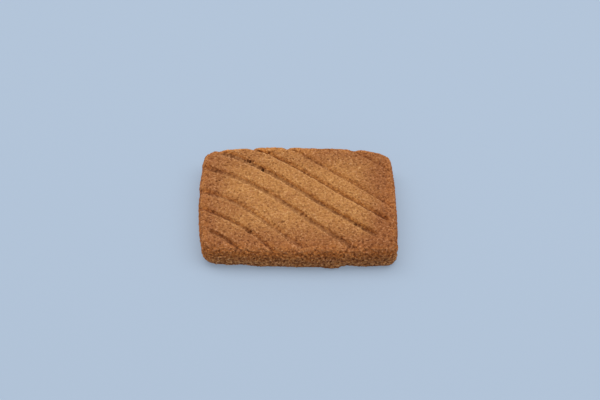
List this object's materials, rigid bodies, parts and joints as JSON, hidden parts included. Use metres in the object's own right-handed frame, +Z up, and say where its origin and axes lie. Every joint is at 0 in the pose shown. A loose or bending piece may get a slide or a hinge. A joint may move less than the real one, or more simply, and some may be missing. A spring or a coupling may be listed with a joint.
{
  "type": "maple cookie",
  "caption": "Rectangular maple cookie of short golden-brown dough, with soft corners, a rounded upper edge and bowed furrows slanting across its top.",
  "frame": {"origin": "centre of the underside, on the surface that the cookie lies on", "axes": "+X along its length, +Y towards the back edge in the picture's view, +Z up through its thickness"},
  "size_m": [0.0602, 0.0436, 0.0096],
  "materials": {
    "crust": "dry matt baked crust, golden tan in the middle and redder brown at the rim, with a fine sandy crumb"
  },
  "bodies": {
    "root": {"cookie": "crust"}
  },
  "joints": []
}
